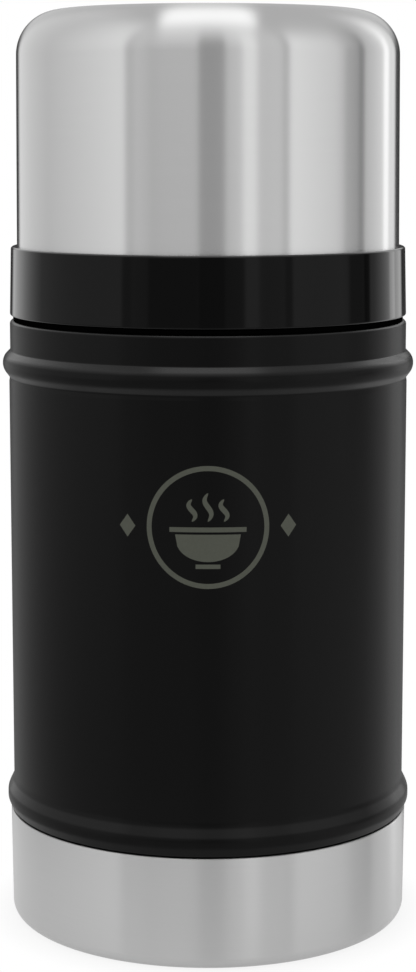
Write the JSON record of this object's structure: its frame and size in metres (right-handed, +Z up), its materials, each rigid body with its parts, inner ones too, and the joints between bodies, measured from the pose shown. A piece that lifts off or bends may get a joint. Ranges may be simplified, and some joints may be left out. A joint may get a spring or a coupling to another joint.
{
  "type": "insulated food jar",
  "caption": "Double-walled vacuum food jar with rolled beads and a steel base, a threaded stopper with a grip bar, and an insulated steel cup that screws on as its lid.",
  "frame": {"origin": "on the jar's axis, in the plane of the foot ring that it stands on", "axes": "+Z up along the jar's axis, from the base to the cup; the stopper's grip bar lies along X at rest"},
  "size_m": [0.0992, 0.0992, 0.22],
  "materials": {
    "shell_paint": "satin",
    "brushed_steel": "satin",
    "vessel_steel": "satin",
    "braze": "satin",
    "getter_alloy": "matte",
    "stopper_plastic": "matte",
    "foam": "matte",
    "silicone": "satin",
    "collar_gloss": "gloss",
    "gasket_rubber": "matte",
    "liner_plastic": "satin"
  },
  "bodies": {
    "jar": {"outer_shell": "shell_paint", "inner_vessel": "vessel_steel", "bottom_plate": "vessel_steel", "vacuum_seal": "braze", "getter": "getter_alloy", "base_cup": "brushed_steel"},
    "stopper_lifted": {"stopper_insulation": "foam"},
    "stopper_raised": {"stopper_seal": "silicone"},
    "stopper": {"stopper_body": "stopper_plastic", "stopper_base": "stopper_plastic"},
    "cup_lifted": {"cup_insulation": "foam"},
    "cup_raised": {"cup_gasket": "gasket_rubber"},
    "cup": {"cup_collar": "collar_gloss", "cup_shell": "brushed_steel", "cup_liner": "liner_plastic"}
  },
  "joints": [
    {"name": "stopper_lift", "type": "slide", "parent": "jar", "child": "stopper_lifted", "axis": [0, 0, 1], "range_m": [0, 0.045]},
    {"name": "stopper_rise", "type": "slide", "parent": "stopper_lifted", "child": "stopper_raised", "axis": [0, 0, 1], "range_m": [0, 0.005]},
    {"name": "stopper_turn", "type": "hinge", "parent": "stopper_raised", "child": "stopper", "pos_m": [0, 0, 0.16], "axis": [0, 0, 1], "range_deg": [0, 450]},
    {"name": "cup_lift", "type": "slide", "parent": "stopper_lifted", "child": "cup_lifted", "axis": [0, 0, 1], "range_m": [0, 0.07]},
    {"name": "cup_rise", "type": "slide", "parent": "cup_lifted", "child": "cup_raised", "axis": [0, 0, 1], "range_m": [0, 0.0075]},
    {"name": "cup_turn", "type": "hinge", "parent": "cup_raised", "child": "cup", "pos_m": [0, 0, 0.19], "axis": [0, 0, 1], "range_deg": [0, 450]}
  ],
  "couplings": [
    {"joint": "stopper_rise", "follows": "stopper_turn", "m_per_rad": 0.00063662},
    {"joint": "cup_rise", "follows": "cup_turn", "m_per_rad": 0.00095493}
  ]
}
